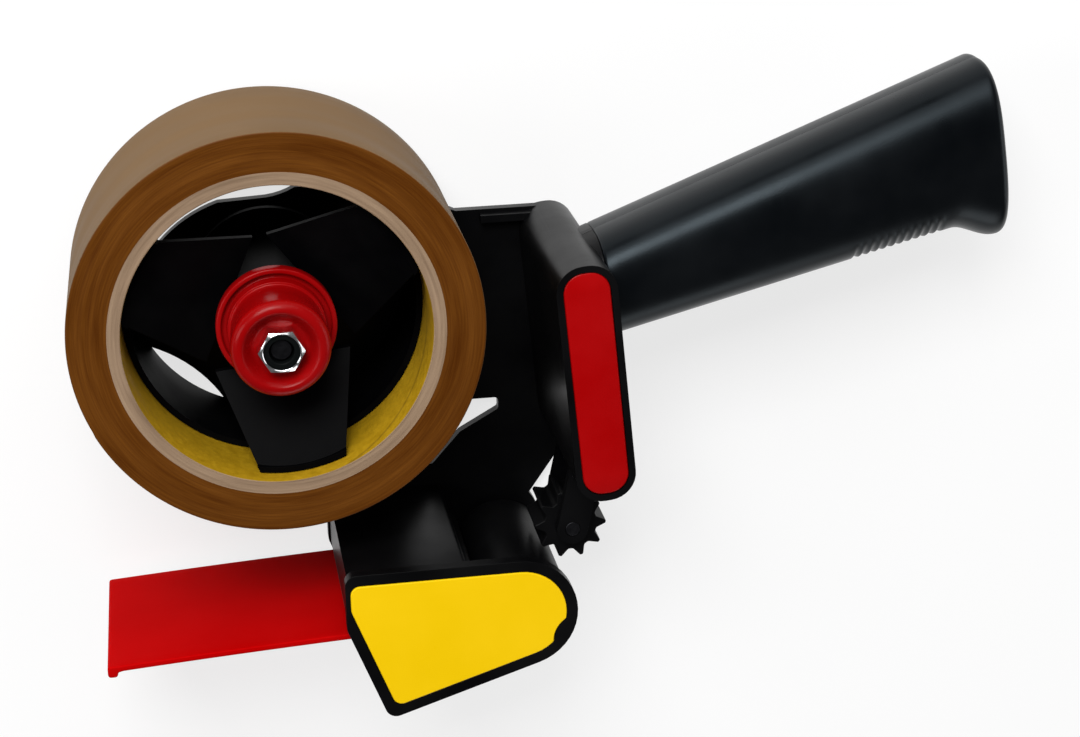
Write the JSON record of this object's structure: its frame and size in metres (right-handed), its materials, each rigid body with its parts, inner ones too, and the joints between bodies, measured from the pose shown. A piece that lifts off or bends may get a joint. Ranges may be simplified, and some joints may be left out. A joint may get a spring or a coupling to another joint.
{
  "type": "packing_tape_dispenser",
  "caption": "Hand-held packing tape dispenser with a braked roll on a hub, a head with rollers, blade and wiper flap, and a sloping grip",
  "frame": {"origin": "On the roll's axle axis, in the plane of the side plate's outer face, which the part rests on when it lies down", "axes": "+Z along the axle towards the open side that the roll comes off; +X from the roll towards the handle; +Y towards the handle's upper side"},
  "size_m": [0.243, 0.1605, 0.067],
  "materials": {
    "black_plastic": "moulded, satin",
    "grip_plastic": "moulded, fine satin grain",
    "roller_plastic": "moulded",
    "yellow_plastic": "glossy",
    "red_plastic": "glossy",
    "flap_plastic": "flexible, semi-gloss",
    "bright_steel": "bright zinc plate",
    "plain_steel": "drawn steel",
    "screw_steel": "dark zinc plate",
    "blade_steel": "ground edge",
    "fibre": "pressed fibre",
    "cardboard": "wound card, coated yellow inside",
    "brown_tape": "brown film, glossy outer face"
  },
  "bodies": {
    "frame": {"side_frame": "black_plastic", "near_cheek": "black_plastic", "cheek_inset": "yellow_plastic", "cheek_screws": "screw_steel", "rear_wall_inset": "red_plastic", "handle_near_half": "grip_plastic", "handle_far_half": "grip_plastic", "handle_screws": "screw_steel", "roller_axle": "plain_steel", "star_wheel_pin": "screw_steel", "cutter_blade": "blade_steel", "blade_clamp": "plain_steel", "blade_screws": "screw_steel", "axle_bolt": "screw_steel", "friction_washer": "fibre"},
    "hub": {"hub": "black_plastic", "pressure_washer": "plain_steel"},
    "roll": {"tape_core": "cardboard", "tape_winding": "brown_tape"},
    "brake_follower": {"thrust_washer": "plain_steel", "brake_spring": "plain_steel"},
    "knob": {"brake_knob": "red_plastic", "brake_nut": "bright_steel"},
    "roller": {"application_roller": "roller_plastic"},
    "star": {"star_wheel": "roller_plastic"},
    "flap": {"wiper_flap": "flap_plastic"}
  },
  "joints": [
    {"name": "hub_spin", "type": "hinge", "parent": "frame", "child": "hub", "pos_m": [0, 0, 0.03], "axis": [0, 0, 1], "continuous": true},
    {"name": "roll_lift_off", "type": "slide", "parent": "hub", "child": "roll", "axis": [0, 0, 1], "range_m": [0, 0.06]},
    {"name": "brake_travel", "type": "slide", "parent": "frame", "child": "brake_follower", "axis": [0, 0, 1], "range_m": [-0.002, 0.002], "deforming": ["brake_spring"]},
    {"name": "knob_turn", "type": "hinge", "parent": "brake_follower", "child": "knob", "pos_m": [0, 0, 0.05], "axis": [0, 0, 1], "range_deg": [-720, 720]},
    {"name": "roller_spin", "type": "hinge", "parent": "frame", "child": "roller", "pos_m": [0.0602, -0.0816, 0.03], "axis": [0, 0, 1], "continuous": true},
    {"name": "star_wheel_spin", "type": "hinge", "parent": "frame", "child": "star", "pos_m": [0.07478, -0.06459, 0.03025], "axis": [0, 0, 1], "continuous": true},
    {"name": "flap_flex", "type": "hinge", "parent": "frame", "child": "flap", "pos_m": [0.0174, -0.0818, 0.03], "axis": [0, 0, 1], "range_deg": [-25, 15], "stiffness_Nm_per_rad": 0.5}
  ],
  "couplings": [
    {"joint": "knob_turn", "follows": "brake_travel", "rad_per_m": 6283}
  ]
}
